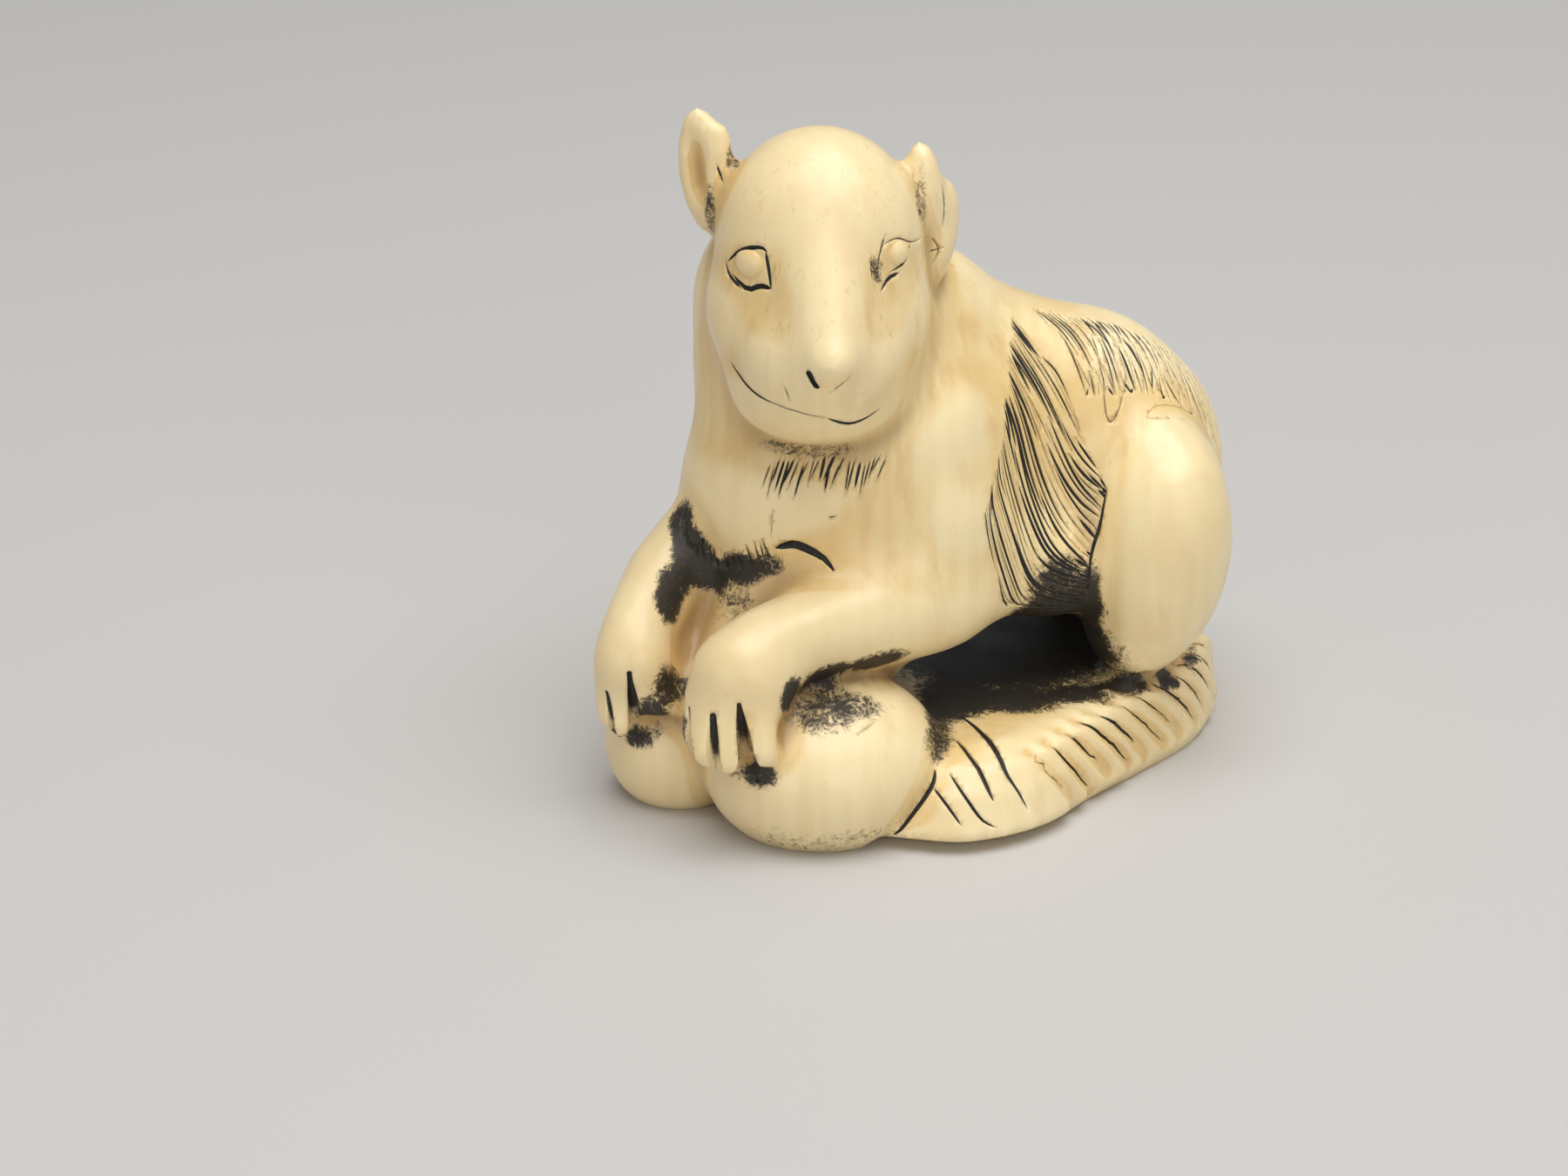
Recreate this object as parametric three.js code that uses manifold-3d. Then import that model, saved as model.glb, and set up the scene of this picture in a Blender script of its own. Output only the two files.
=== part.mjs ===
// A carved netsuke, in millimetres: a rat crouches over two smooth stones on a low ribbed plinth,
// with its head turned to the front. It is one piece of ivory. +Z is up, the rat looks along -Y,
// and the origin is at the middle of the underside.
import * as THREE from "three";
import { LoftGeometry } from "three/addons/geometries/LoftGeometry.js";
import { MarchingCubes } from "three/addons/objects/MarchingCubes.js";
import { mergeVertices } from "three/addons/utils/BufferGeometryUtils.js";
import Module from "manifold-3d";

const wasm = await Module();
wasm.setup();

// --- Driving dimensions -------------------------------------------------------------------------

const PLINTH_TOP = 5.1; // height of the plinth's upper face
const UNDERSIDE_CUT = 6; // depth of the block that trims the underside flat
const CELL = 1.3; // spacing of the grid on which the body's surface is traced
const FIELD_SPAN = 52; // side of the cube that the grid fills
const FIELD_CENTRE = [0, 0, 22];
const CORD_PASSAGE = { at: [4.8, 2, 7.4], halfWidth: 5.6, halfHeight: 2.3, halfLength: 17, turn: 6 };
const MIDDLE = [0.17, -0.95]; // where the middle of the outline falls among the places below

// --- Masses of the body: smooth lumps, each at a place, with three radii and a turn in degrees ----

const lump = (at, radii, turn = [0, 0, 0]) => ({ at, radii, turn });
// A limb segment runs from one point to another and swells or tapers between two radii.
const segment = (from, to, fromRadius, toRadius) => ({ from, to, fromRadius, toRadius });

const TRUNK = [
  lump([-6.3, -0.4, 17.2], [8.2, 8.4, 8.4]), // chest
  lump([-5.4, 0.8, 25.2], [8.3, 7.4, 7.6]), // neck
  lump([-6.6, -3.0, 9.0], [6.4, 6.0, 6.0]), // breast, down to the stones
  lump([-10.4, -8.0, 6.6], [4.4, 4.8, 4.2]), // ridge between the hands
  lump([-1.2, 2.6, 26.6], [6.6, 6.2, 6.0]), // nape
  lump([-7.2, 0.6, 29.2], [6.6, 6.2, 6.8]), // far side of the neck, up to the ear
  lump([3.8, 4.4, 20.1], [8.6, 7.6, 8.4]), // ribs
  lump([9.6, 5.2, 18.7], [8.4, 7.2, 8.2]), // loin
  lump([7.4, 4.0, 15.0], [8.6, 7.6, 6.4]), // belly
  lump([7.8, -0.6, 12.9], [5.4, 4.4, 4.0]), // underside of the flank
  lump([11.4, 6.0, 16.3], [8.3, 8.0, 8.7]), // rump
  lump([-0.2, -2.4, 20.6], [5.4, 5.2, 7.0]), // near shoulder
  lump([1.0, -3.8, 16.4], [4.6, 4.6, 6.2]), // near upper arm
];
const HEAD = [
  lump([-5.9, -3.2, 34.2], [6.3, 6.4, 7.1]), // skull
  lump([-5.9, -4.2, 30.4], [7.0, 6.0, 5.6]), // cheeks
  lump([-5.7, -8.0, 29.0], [5.0, 4.6, 3.9]), // upper lip
  lump([-6.0, -6.3, 26.6], [5.5, 4.8, 3.7]), // lower jaw
  segment([-5.7, -6.6, 35.0], [-5.3, -11.4, 30.5], 3.4, 2.1), // bridge of the nose
  lump([-5.2, -12.9, 30.2], [1.45, 1.2, 1.15]), // tip of the nose
];
const NEAR_THIGH = [
  lump([14.6, 0.0, 13.8], [4.8, 6.4, 8.4], [0, 5, 18]),
  lump([13.9, -0.6, 8.0], [3.3, 3.8, 2.9]), // heel
];
const FAR_THIGH = [
  lump([11.0, 11.2, 13.4], [5.4, 4.6, 8.4], [4, 0, 22]),
  lump([11.2, 11.6, 7.6], [3.6, 3.2, 3.0]), // heel
];
const NEAR_ARM = [
  segment([1.6, -5.0, 12.2], [-3.4, -8.6, 12.2], 3.6, 3.2), // elbow
  segment([-3.0, -8.3, 12.3], [-9.4, -12.6, 12.0], 3.1, 2.5), // forearm
  lump([-10.5, -13.7, 10.4], [3.3, 2.9, 3.5], [0, 0, -12]), // back of the hand
];
const FAR_ARM = [
  segment([-12.0, -1.4, 15.8], [-15.2, -4.4, 13.0], 2.7, 2.6), // upper arm
  segment([-15.2, -4.4, 13.0], [-17.0, -8.6, 11.2], 2.6, 2.2), // forearm
  lump([-17.1, -9.4, 9.6], [2.6, 2.5, 2.9], [0, 0, -14]), // back of the hand
];
const LIMBS = [NEAR_THIGH, FAR_THIGH, NEAR_ARM, FAR_ARM];

// How far the flesh fills the hollow where two masses meet.
const TRUNK_BLEND = 5;
const HEAD_BLEND = 3;
const LIMB_BLEND = 2.4;
const JOINT_BLEND = 1.8; // where the limbs and the head grow out of the trunk

// Ears, stones and fingers are solids of their own, joined to the body.
const LEFT_EAR = [
  lump([-12.75, -1.2, 38.1], [1.6, 1.2, 4.2], [0, -6, -20]), // back of the leaf
  lump([-12.0, -1.9, 37.9], [0.95, 1.0, 3.5], [0, 5, -20]), // inner fold
];
const LEFT_EAR_HOLLOW = lump([-13.55, -2.4, 39.1], [0.6, 1.1, 2.6], [0, -8, -20]);
const RIGHT_EAR = [
  lump([0.4, -1.6, 36.3], [1.25, 1.5, 3.8], [0, -6, 20]), // inner fold
  lump([1.55, -0.5, 34.4], [0.9, 1.3, 3.0], [0, 4, 20]), // rim behind it
  lump([0.8, -1.4, 33.0], [1.2, 1.6, 2.4], [0, 10, 20]), // root
];
const BIG_STONE = lump([-5.6, -10.6, 3.6], [7.4, 6.9, 5.5], [0, 0, 12]);
const SMALL_STONE = lump([-14.3, -6.8, 3.2], [4.7, 4.7, 4.5], [0, 0, -10]);
const STONE_SLANT = { at: [-3, -14, 0], degrees: 40.5 }; // the big stone's lower right side is cut off here
const FINGERS = [
  segment([-13.2, -13.6, 9.8], [-13.8, -15.0, 7.2], 0.85, 0.6),
  segment([-12.4, -14.8, 9.8], [-12.9, -16.6, 6.6], 0.95, 0.7),
  segment([-11.2, -15.4, 10.0], [-11.2, -17.1, 6.2], 1.0, 0.75),
  segment([-9.6, -15.0, 10.0], [-9.0, -16.7, 6.6], 1.2, 0.8),
  segment([-18.8, -9.0, 8.8], [-19.0, -10.2, 6.2], 0.8, 0.6),
  segment([-17.9, -9.8, 8.8], [-17.8, -11.4, 5.8], 0.9, 0.7),
  segment([-16.3, -9.9, 9.0], [-15.4, -11.1, 7.2], 1.0, 0.75),
];

// --- Distance fields ------------------------------------------------------------------------------

const point = new THREE.Vector3();

// Each shape becomes a function of the shared point that gives a distance, negative inside.
function distanceTo(shape) {
  return shape.radii ? distanceToLump(shape) : distanceToSegment(shape);
}

function distanceToLump({ at, radii, turn }) {
  const centre = new THREE.Vector3(...at);
  const angles = turn.map((degrees) => THREE.MathUtils.degToRad(degrees));
  const untwist = new THREE.Quaternion().setFromEuler(new THREE.Euler(...angles)).invert();
  const size = new THREE.Vector3(...radii);
  const local = new THREE.Vector3();
  return () => {
    local.copy(point).sub(centre).applyQuaternion(untwist).divide(size);
    const reach = local.length();
    const slope = local.divide(size).length();
    return slope === 0 ? -Math.min(...radii) : (reach * (reach - 1)) / slope;
  };
}

function distanceToSegment({ from, to, fromRadius, toRadius }) {
  const start = new THREE.Vector3(...from);
  const axis = new THREE.Vector3(...to).sub(start);
  const local = new THREE.Vector3();
  return () => {
    local.copy(point).sub(start);
    const along = THREE.MathUtils.clamp(local.dot(axis) / axis.lengthSq(), 0, 1);
    return local.addScaledVector(axis, -along).length() - THREE.MathUtils.lerp(fromRadius, toRadius, along);
  };
}

// Two distances joined with a fillet of about the given width.
function blend(a, b, width) {
  const overlap = Math.max(width - Math.abs(a - b), 0) / width;
  return Math.min(a, b) - (overlap * overlap * width) / 4;
}

function group(shapes, width) {
  const distances = shapes.map(distanceTo);
  return () => distances.reduce((joined, distance) => blend(joined, distance(), width), Infinity);
}

// --- Solids ---------------------------------------------------------------------------------------

// A closed three.js geometry as a manifold-3d solid.
function solidOf(geometry) {
  const bare = new THREE.BufferGeometry();
  bare.setAttribute("position", geometry.attributes.position);
  if (geometry.index) bare.setIndex(geometry.index);
  const merged = mergeVertices(bare, 1e-4);
  const mesh = new wasm.Mesh({
    numProp: 3,
    vertProperties: merged.attributes.position.array,
    triVerts: new Uint32Array(merged.index.array),
  });
  return new wasm.Manifold(mesh);
}

function geometryOf(solid) {
  const { vertProperties, triVerts } = solid.getMesh();
  const geometry = new THREE.BufferGeometry();
  geometry.setAttribute("position", new THREE.BufferAttribute(vertProperties, 3));
  geometry.setIndex(new THREE.BufferAttribute(triVerts, 1));
  geometry.computeVertexNormals();
  return geometry;
}

// The rat without its ears and fingers: the masses blended like flesh, then traced as one surface.
function bodySolid() {
  const trunk = group(TRUNK, TRUNK_BLEND);
  const head = group(HEAD, HEAD_BLEND);
  const limbs = LIMBS.map((shapes) => group(shapes, LIMB_BLEND));
  const body = () =>
    [head, ...limbs].reduce((joined, part) => blend(joined, part(), JOINT_BLEND), trunk());

  const steps = Math.round(FIELD_SPAN / CELL);
  const tracer = new MarchingCubes(steps, new THREE.MeshBasicMaterial(), false, false, 40000);
  tracer.isolation = 0;
  const half = FIELD_SPAN / 2;
  const least = 0.03 * CELL; // keeps the surface off the grid's own corners, where slivers form
  for (let z = 0; z < steps; z++)
    for (let y = 0; y < steps; y++)
      for (let x = 0; x < steps; x++) {
        const cell = [x, y, z].map((step, i) => FIELD_CENTRE[i] + ((step - steps / 2) / (steps / 2)) * half);
        point.set(...cell);
        const depth = -body();
        tracer.setCell(x, y, z, Math.abs(depth) < least ? least : depth);
      }
  tracer.update();
  const surface = new THREE.BufferGeometry();
  const corners = tracer.positionArray.slice(0, tracer.count * 3);
  surface.setAttribute("position", new THREE.BufferAttribute(corners, 3));
  surface.scale(half, half, half).translate(...FIELD_CENTRE);
  return solidOf(surface);
}

function lumpSolid({ at, radii, turn }, around = 20, down = 14) {
  const ball = new THREE.SphereGeometry(1, around, down).scale(...radii);
  const angles = turn.map((degrees) => THREE.MathUtils.degToRad(degrees));
  const place = new THREE.Matrix4().makeRotationFromEuler(new THREE.Euler(...angles)).setPosition(...at);
  return solidOf(ball.applyMatrix4(place));
}

// A finger is a capsule whose far end is drawn in to the tip's radius.
const CAPSULE_AXIS = new THREE.Vector3(0, 1, 0);
function fingerSolid({ from, to, fromRadius, toRadius }) {
  const start = new THREE.Vector3(...from);
  const along = new THREE.Vector3(...to).sub(start);
  const length = along.length();
  const finger = new THREE.CapsuleGeometry(fromRadius, length, 3, 8);
  const places = finger.attributes.position;
  const tip = new THREE.Vector3(0, length / 2, 0);
  for (let i = 0; i < places.count; i++) {
    point.fromBufferAttribute(places, i);
    if (point.y > 0) point.sub(tip).multiplyScalar(toRadius / fromRadius).add(tip);
    places.setXYZ(i, point.x, point.y, point.z);
  }
  const turn = new THREE.Quaternion().setFromUnitVectors(CAPSULE_AXIS, along.clone().normalize());
  finger.applyQuaternion(turn);
  const middle = start.addScaledVector(along, 0.5);
  return solidOf(finger.translate(...middle.toArray()));
}

function bigStoneSolid() {
  const cutter = new THREE.BoxGeometry(30, 40, 30).translate(15, 0, 0);
  cutter.rotateY(THREE.MathUtils.degToRad(STONE_SLANT.degrees)).translate(...STONE_SLANT.at);
  return lumpSolid(BIG_STONE, 20, 12).subtract(solidOf(cutter));
}

// The plinth is lofted between rings of one outline, each drawn in from the last.
function plinthSolid() {
  const outline = new THREE.CatmullRomCurve3(
    [
      [0.6, -16.2],
      [4.6, -15.9],
      [8.4, -13.4],
      [11.2, -9.4],
      [14.6, -5.2],
      [18.0, -0.8],
      [19.6, 4.0],
      [19.2, 8.6],
      [15.6, 13.0],
      [9.4, 15.2],
      [1.4, 15.4],
      [-6.0, 12.6],
      [-11.0, 7.4],
      [-13.0, 0.6],
      [-13.0, -6.4],
      [-9.0, -13.0],
    ].map(([x, y]) => new THREE.Vector3(x, y, 0)),
    true,
  );
  const points = outline.getSpacedPoints(56).slice(0, -1);
  const front = new THREE.Vector3(0.6, -16.2, 0);
  const ring = (height, inset) =>
    points.map((p) => {
      // The side leans back most at the front and stands nearly upright elsewhere.
      const lean = 1 + 2.4 * Math.exp(-p.distanceToSquared(front) / 120);
      const drawn = 1 - (inset * lean) / p.length();
      return new THREE.Vector3(p.x * drawn, p.y * drawn, height);
    });
  const sections = [
    ring(-1, 0.9),
    ring(0.2, 0.5),
    ring(1, 0),
    ring(3.2, 0.35),
    ring(PLINTH_TOP - 0.5, 0.8),
    ring(PLINTH_TOP, 1.5),
  ];
  return solidOf(new LoftGeometry(sections, { capStart: true, capEnd: true }));
}

function passageSolid() {
  const { at, halfWidth, halfHeight, halfLength, turn } = CORD_PASSAGE;
  const bore = new THREE.CapsuleGeometry(1, 2 * halfLength, 6, 24).scale(halfWidth, 1, halfHeight);
  bore.rotateZ(THREE.MathUtils.degToRad(turn)).translate(...at);
  return solidOf(bore);
}

function underCutSolid() {
  const block = new THREE.BoxGeometry(80, 80, UNDERSIDE_CUT).translate(0, 0, -UNDERSIDE_CUT / 2);
  return solidOf(block);
}

const joinAll = (solids) => solids.reduce((whole, solid) => whole.add(solid));
const ears = [
  joinAll(LEFT_EAR.map((shape) => lumpSolid(shape, 12, 10))).subtract(lumpSolid(LEFT_EAR_HOLLOW, 10, 8)),
  joinAll(RIGHT_EAR.map((shape) => lumpSolid(shape, 12, 10))),
];
const stones = [bigStoneSolid(), lumpSolid(SMALL_STONE, 16, 10)];
const carving = joinAll([bodySolid(), plinthSolid(), ...stones, ...ears, ...FINGERS.map(fingerSolid)])
  .subtract(passageSolid())
  .subtract(underCutSolid());

const ivory = new THREE.MeshStandardMaterial({ color: 0xe6cf9c, roughness: 0.38, metalness: 0 });
const rat = new THREE.Mesh(geometryOf(carving), ivory);
rat.name = "rat_netsuke";
rat.position.set(-MIDDLE[0], -MIDDLE[1], 0);

const netsuke = new THREE.Group();
netsuke.add(rat);
export default netsuke;
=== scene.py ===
"""An ivory netsuke: a rat crouching over two smooth stones on a low ribbed plinth, carved as one piece.

The carving is modelled in millimetres, in the places where its parts lie, then moved so that the middle
of its outline is at the origin and brought down to metres.
"""

import math
import random

import bpy
import numpy as np
from mathutils import Matrix, Vector
from mathutils.bvhtree import BVHTree
from mathutils.kdtree import KDTree


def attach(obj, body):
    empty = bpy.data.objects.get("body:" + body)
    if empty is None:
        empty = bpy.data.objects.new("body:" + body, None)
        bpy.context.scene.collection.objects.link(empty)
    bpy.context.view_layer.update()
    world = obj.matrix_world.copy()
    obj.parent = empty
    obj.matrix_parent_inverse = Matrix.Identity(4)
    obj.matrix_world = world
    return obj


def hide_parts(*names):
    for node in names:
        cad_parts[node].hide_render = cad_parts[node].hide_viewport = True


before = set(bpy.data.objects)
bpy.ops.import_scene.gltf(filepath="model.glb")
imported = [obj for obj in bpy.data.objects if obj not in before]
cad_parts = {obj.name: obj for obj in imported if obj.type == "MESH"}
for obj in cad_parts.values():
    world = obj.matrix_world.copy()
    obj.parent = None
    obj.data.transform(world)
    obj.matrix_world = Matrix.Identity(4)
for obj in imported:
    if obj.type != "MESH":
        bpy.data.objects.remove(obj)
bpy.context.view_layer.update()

# --- Sizes, in millimetres --------------------------------------------------------------------------

MM = 0.001
MIDDLE = (0.17, -0.95)  # where the middle of the outline falls among the places below
PLINTH_TOP = 5.1
PLINTH_POINTS = 144
FIRST_RIB = (6.9, -12.4)  # where the plinth's ribs begin and end, beside the stones
LAST_RIB = (-12.6, 3.0)
EDGE_GAP = 0.1  # between the points of the plinth's edge that ribs start from
FINE_GRAIN = 0.33  # voxel of the finished carving
BODY_GRAIN = 0.6  # voxel of the masses while they are still being blended
MIRROR_Y = 4.2  # the upright plane between the near and the far flank
GRAVER_STEP = 0.45  # between the places along a cut line
CHIN_HAIRS = 24
BREAST_TUFTS = 34
CORD_PASSAGE = {"at": (4.8, 2, 7.4), "half_width": 5.6, "half_height": 2.3, "half_length": 17, "turn": 6}

# Each lump is a place, three radii and, where it is turned, its turn in degrees.
TRUNK = [
    ((-6.3, -0.4, 17.2), (8.2, 8.4, 8.4)),  # chest
    ((-5.4, 0.8, 25.2), (8.3, 7.4, 7.6)),  # neck
    ((-6.6, -3.0, 9.0), (6.4, 6.0, 6.0)),  # breast, down to the stones
    ((-10.4, -8.0, 6.6), (4.4, 4.8, 4.2)),  # ridge between the hands
    ((-1.2, 2.6, 26.6), (6.6, 6.2, 6.0)),  # nape
    ((-7.2, 0.6, 29.2), (6.6, 6.2, 6.8)),  # far side of the neck, up to the ear
    ((3.8, 4.4, 20.1), (8.6, 7.6, 8.4)),  # ribs
    ((9.6, 5.2, 18.7), (8.4, 7.2, 8.2)),  # loin
    ((7.4, 4.0, 15.0), (8.6, 7.6, 6.4)),  # belly
    ((7.8, -0.6, 12.9), (5.4, 4.4, 4.0)),  # underside of the flank
    ((11.4, 6.0, 16.3), (8.3, 8.0, 8.7)),  # rump
    ((-0.2, -2.4, 20.6), (5.4, 5.2, 7.0)),  # near shoulder
    ((1.0, -3.8, 16.4), (4.6, 4.6, 6.2)),  # near upper arm
]
SKULL = [
    ((-5.9, -3.2, 34.2), (6.3, 6.4, 7.1)),  # skull
    ((-5.9, -4.2, 30.4), (7.0, 6.0, 5.6)),  # cheeks
    ((-5.7, -8.0, 29.0), (5.0, 4.6, 3.9)),  # upper lip
    ((-6.0, -6.3, 26.6), (5.5, 4.8, 3.7)),  # lower jaw
]
NEAR_THIGH = [
    ((14.6, 0.0, 13.8), (4.8, 6.4, 8.4), (0, 5, 18)),
    ((13.9, -0.6, 8.0), (3.3, 3.8, 2.9)),  # heel
]
FAR_THIGH = [
    ((11.0, 11.2, 13.4), (5.4, 4.6, 8.4), (4, 0, 22)),
    ((11.2, 11.6, 7.6), (3.6, 3.2, 3.0)),  # heel
]
NEAR_HAND = [((-10.5, -13.7, 10.4), (3.3, 2.9, 3.5), (0, 0, -12))]
FAR_HAND = [((-17.1, -9.4, 9.6), (2.6, 2.5, 2.9), (0, 0, -14))]
STONES = [
    ((-5.6, -10.6, 3.6), (7.4, 6.9, 5.5), (0, 0, 12)),
    ((-14.3, -6.8, 3.2), (4.7, 4.7, 4.5), (0, 0, -10)),
]
LEFT_EAR = [
    ((-12.75, -1.2, 38.0), (1.6, 1.2, 4.1), (0, -6, -20)),  # back of the leaf
    ((-12.0, -1.9, 37.9), (0.95, 1.0, 3.5), (0, 5, -20)),  # inner fold
]
LEFT_EAR_HOLLOW = ((-13.45, -2.5, 38.7), (0.7, 1.2, 3.2), (0, -8, -20))
RIGHT_EAR = [
    ((0.4, -1.6, 36.3), (1.25, 1.5, 3.8), (0, -6, 20)),  # inner fold
    ((1.55, -0.5, 34.4), (0.9, 1.3, 3.0), (0, 4, 20)),  # rim behind it
    ((0.8, -1.4, 33.0), (1.2, 1.6, 2.4), (0, 10, 20)),  # root
]
NOSE_TIP = ((-5.2, -12.9, 30.2), (1.45, 1.2, 1.15))

# Each limb runs between two places and tapers between two radii.
NOSE_BRIDGE = [((-5.7, -6.6, 35.0), (-5.3, -11.4, 30.5), 3.4, 2.1)]
NEAR_ELBOW = [((1.6, -5.0, 12.2), (-3.4, -8.6, 12.2), 3.6, 3.2)]
NEAR_FOREARM = [((-3.0, -8.3, 12.3), (-9.4, -12.6, 12.0), 3.1, 2.5)]
FAR_ARM = [
    ((-12.0, -1.4, 15.8), (-15.2, -4.4, 13.0), 2.7, 2.6),
    ((-15.2, -4.4, 13.0), (-17.0, -8.6, 11.2), 2.6, 2.2),
]
NEAR_FINGERS = [
    ((-13.2, -13.6, 9.8), (-13.8, -15.0, 7.2), 0.85, 0.6),
    ((-12.4, -14.8, 9.8), (-12.9, -16.6, 6.6), 0.95, 0.7),
    ((-11.2, -15.4, 10.0), (-11.2, -17.1, 6.2), 1.0, 0.75),
    ((-9.6, -15.0, 10.0), (-9.0, -16.7, 6.6), 1.2, 0.8),
]
FAR_FINGERS = [
    ((-18.8, -9.0, 8.8), (-19.0, -10.2, 6.2), 0.8, 0.6),
    ((-17.9, -9.8, 8.8), (-17.8, -11.4, 5.8), 0.9, 0.7),
    ((-16.3, -9.9, 9.0), (-15.4, -11.1, 7.2), 1.0, 0.75),
]
# Where flesh runs smoothly from one mass into the next: a place and how far the softening reaches.
SOFT_PLACES = [
    ((14.0, -1.0, 21.6), 4.5),  # where the haunch rises out of the back
    ((12.2, -1.5, 20.5), 3.5),
    ((16.5, 1.5, 20.5), 4.5),
    ((1.2, -3.4, 30.0), 4.2),  # crease between cheek and neck
    ((0.4, -4.6, 26.6), 3.4),
    ((-12.6, -3.0, 27.5), 4.4),
    ((-12.0, -4.6, 24.6), 3.2),
    ((15.0, 1.0, 22.0), 5.5),  # top of the near haunch
    ((19.0, 3.0, 17.5), 6.0),  # back of the near haunch
    ((12.0, 11.0, 21.0), 7.0),  # top of the far haunch
    ((-1.0, 3.0, 31.0), 5.5),  # nape
    ((-11.0, 3.0, 30.0), 5.5),
    ((3.0, -6.0, 12.0), 4.0),  # elbow
]

# Hair on the near flank follows these lines, from the shoulder to the fold before the haunch.
FLANK_HAIR = [
    [(5.8, 1.2, 27.9), (7.3, 0.3, 26.2), (8.6, -0.4, 24.7), (10.2, -1.7, 20.9)],
    [(5.7, 0.2, 27.3), (7.2, -0.8, 25.1), (9.8, -1.9, 20.1), (11.6, -2.8, 18.1)],
    [(5.6, -0.7, 26.5), (6.9, -1.6, 24.3), (9.4, -2.3, 18.9), (11.4, -3.3, 16.7)],
    [(5.5, -1.6, 25.4), (6.5, -2.4, 23.2), (8.6, -3.1, 17.5), (10.8, -4.0, 14.3)],
    [(5.3, -2.9, 23.9), (6.1, -3.3, 21.3), (8.2, -4.3, 15.4), (10.6, -4.2, 13.3)],
    [(5.2, -3.9, 22.1), (5.6, -4.2, 19.7), (7.5, -5.0, 14.0), (10.5, -4.2, 12.3)],
    [(4.9, -4.7, 20.7), (5.1, -5.4, 18.2), (7.1, -5.0, 12.5), (10.3, -3.7, 10.9)],
    [(4.5, -5.7, 19.5), (4.7, -6.3, 17.1), (6.5, -4.9, 11.3), (9.6, -3.6, 10.2)],
    [(4.0, -6.8, 18.2), (4.2, -6.9, 16.3), (4.8, -6.5, 12.9), (5.1, -5.9, 11.5)],
]
# Hair along the top of the back, from the shoulder to the rump.
BACK_HAIR = [
    [(7.0, 3.1, 27.8), (8.6, 2.1, 26.7), (10.5, -0.6, 23.3)],
    [(9.3, 4.0, 27.0), (10.7, 2.2, 26.0), (12.1, -0.2, 23.2)],
    [(11.2, 4.2, 26.5), (12.5, 2.6, 25.6), (13.6, 0.4, 23.2)],
    [(13.9, 4.3, 25.5), (14.6, 3.1, 24.5), (15.3, 1.0, 22.5)],
    [(16.0, 5.9, 23.8), (16.9, 4.8, 22.6), (18.2, 2.4, 19.5)],
    [(17.6, 7.2, 21.8), (18.4, 6.6, 20.2), (19.2, 4.8, 17.2)],
]
EYEBALLS = [
    ((-9.85, -7.65, 34.5), (1.2, 0.7, 1.0), (0, 0, -42)),
    ((-1.55, -7.0, 34.9), (1.1, 0.7, 0.9), (0, 0, 50)),
]
# Lines cut one by one: the places each runs through and its width.
FACE_LINES = [
    ([(-11.4, -6.4, 34.1), (-10.6, -7.3, 35.2), (-9.4, -8.2, 35.7), (-9.0, -8.6, 35.5)], 0.34),  # upper lid
    ([(-9.1, -8.5, 35.6), (-8.9, -8.9, 34.5), (-8.7, -9.2, 33.4)], 0.36),
    ([(-8.7, -9.2, 33.5), (-9.4, -8.7, 33.5), (-10.1, -8.1, 33.1), (-11.0, -7.0, 33.6)], 0.44),  # lower lid
    ([(-10.4, -7.8, 33.0), (-11.2, -6.8, 33.5), (-11.5, -6.2, 34.2)], 0.3),
    ([(-2.1, -7.8, 36.3), (-2.4, -8.3, 35.5), (-2.6, -8.8, 34.4)], 0.2),
    ([(-2.9, -8.9, 35.3), (-3.0, -9.1, 34.6), (-2.9, -9.2, 34.2)], 0.18),
    ([(-2.2, -8.1, 35.8), (-1.4, -7.2, 35.9), (-0.5, -6.2, 35.3), (0.2, -4.6, 35.0)], 0.16),
    ([(-0.5, -6.2, 35.4), (-0.7, -6.7, 34.8), (-1.1, -7.2, 34.3), (-1.9, -8.1, 34.1)], 0.26),
    ([(-1.2, -7.6, 33.9), (-1.9, -8.3, 33.8), (-2.4, -9.0, 33.2)], 0.32),
    ([(-11.2, -7.8, 28.4), (-9.9, -9.8, 27.4), (-8.4, -11.0, 26.9)], 0.32),  # mouth
    ([(-8.9, -10.8, 27.0), (-7.2, -11.4, 26.6), (-5.4, -11.3, 26.1)], 0.2),
    ([(-5.5, -11.3, 26.2), (-4.3, -10.6, 25.6), (-3.4, -10.3, 25.7), (-2.4, -9.8, 26.4)], 0.44),
    ([(-4.1, -13.0, 29.7), (-4.6, -13.0, 29.1), (-5.2, -12.6, 28.3)], 0.2),  # nostril
    ([(-7.9, -11.6, 28.6), (-7.8, -11.8, 27.9), (-7.8, -11.7, 27.4)], 0.14),
    ([(0.9, -3.6, 34.6), (1.2, -2.8, 33.6), (0.8, -3.2, 32.6)], 0.14),
    ([(0.5, -4.0, 33.6), (1.6, -2.8, 33.7)], 0.16),
    ([(-11.9, -3.2, 38.9), (-11.7, -3.2, 37.9)], 0.2),  # ears
    ([(-12.4, -2.6, 37.2), (-12.6, -2.5, 36.2), (-12.7, -2.4, 35.2)], 0.22),
    ([(1.4, -2.2, 37.4), (1.5, -2.3, 36.2), (1.4, -2.6, 34.7)], 0.24),
]
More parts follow.
